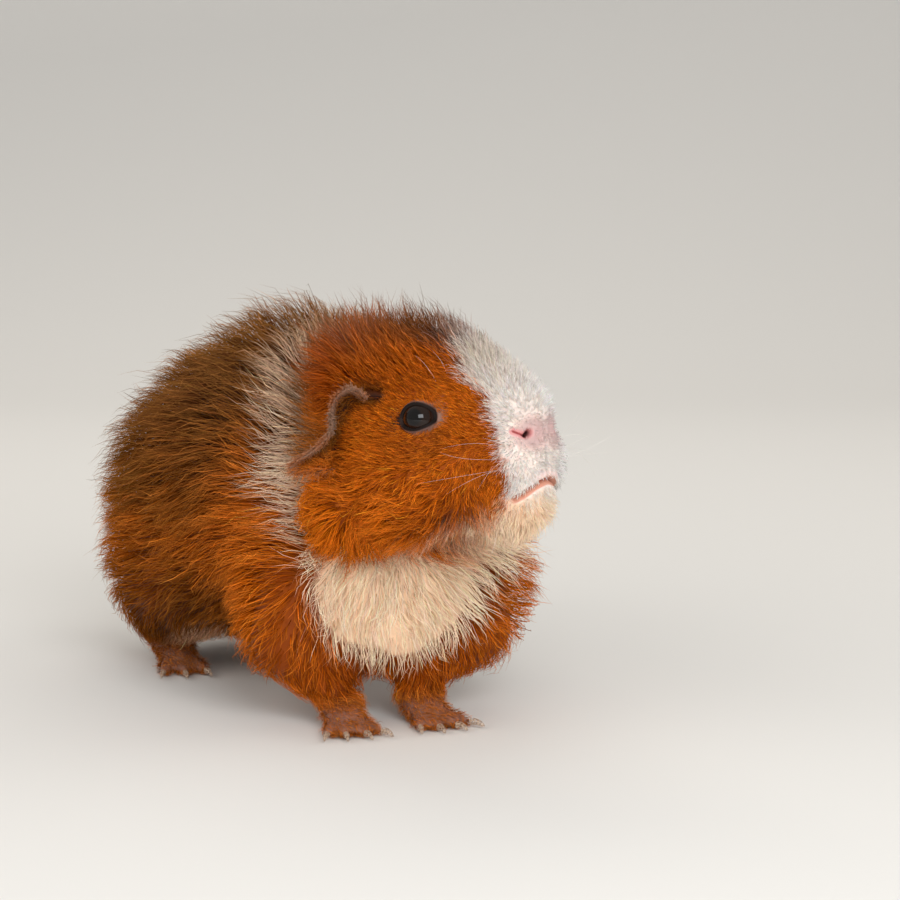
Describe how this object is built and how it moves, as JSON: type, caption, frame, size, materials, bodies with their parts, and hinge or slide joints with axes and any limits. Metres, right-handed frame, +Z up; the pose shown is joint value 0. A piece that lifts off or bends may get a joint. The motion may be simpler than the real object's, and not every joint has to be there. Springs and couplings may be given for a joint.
{
  "type": "guinea pig",
  "caption": "Life-size still model of a long-haired orange, white and brown guinea pig standing with its head raised and turned to its left.",
  "frame": {"origin": "middle of the bottom of the whole model's box, on the floor", "axes": "+X forward along the trunk, +Y to the animal's left, +Z up"},
  "size_m": [0.2362, 0.1096, 0.1275],
  "materials": {
    "coat": "medium-long soft fur in ginger, cream-white and dark brown, laid over the skin",
    "bare_skin": "thin-haired or bare pinkish skin: ears, eyelids, nose, lips and soles",
    "eye": "wet, glossy, almost black",
    "claw": "smooth horn, satin"
  },
  "bodies": {
    "root": {"trunk": "coat", "neck": "coat", "head": "coat", "foreleg_left": "coat", "foreleg_right": "coat", "hindleg_left": "coat", "hindleg_right": "coat", "ear_left": "bare_skin", "ear_right": "bare_skin", "eye_left": "eye", "eye_right": "eye", "forefoot_left": "bare_skin", "forefoot_left_claw_1": "claw", "forefoot_left_claw_2": "claw", "forefoot_left_claw_3": "claw", "forefoot_left_claw_4": "claw", "forefoot_right": "bare_skin", "forefoot_right_claw_1": "claw", "forefoot_right_claw_2": "claw", "forefoot_right_claw_3": "claw", "forefoot_right_claw_4": "claw", "hindfoot_left": "bare_skin", "hindfoot_left_claw_1": "claw", "hindfoot_left_claw_2": "claw", "hindfoot_left_claw_3": "claw", "hindfoot_right": "bare_skin", "hindfoot_right_claw_1": "claw", "hindfoot_right_claw_2": "claw", "hindfoot_right_claw_3": "claw"}
  },
  "joints": []
}
